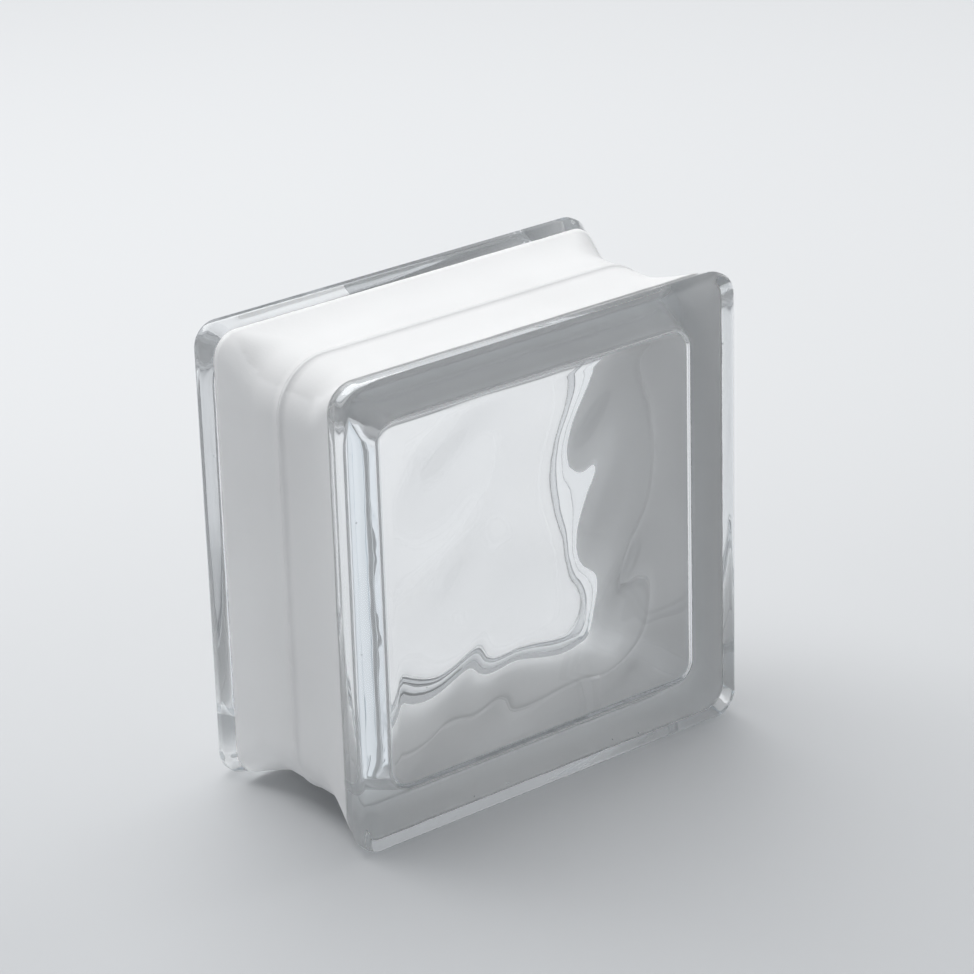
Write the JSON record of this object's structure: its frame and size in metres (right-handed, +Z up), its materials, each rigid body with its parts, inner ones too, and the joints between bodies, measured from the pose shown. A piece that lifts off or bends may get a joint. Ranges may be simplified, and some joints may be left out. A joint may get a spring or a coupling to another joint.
{
  "type": "glass block",
  "caption": "Square hollow glass building block with wavy inner faces, clear flanges round both faces and white-coated concave mortar channels on its four edges.",
  "frame": {"origin": "on the ground under the middle of the block, which stands on its lower edge", "axes": "+Z up, X along the width, Y through the depth, with the front face towards -Y"},
  "size_m": [0.19, 0.095, 0.19],
  "materials": {
    "clear_glass": "polished pressed glass, faint grey-green tint",
    "white_coating": "matt white opaque edge coating"
  },
  "bodies": {
    "root": {"front_half": "clear_glass", "rear_half": "clear_glass", "edge_coating": "white_coating"}
  },
  "joints": []
}
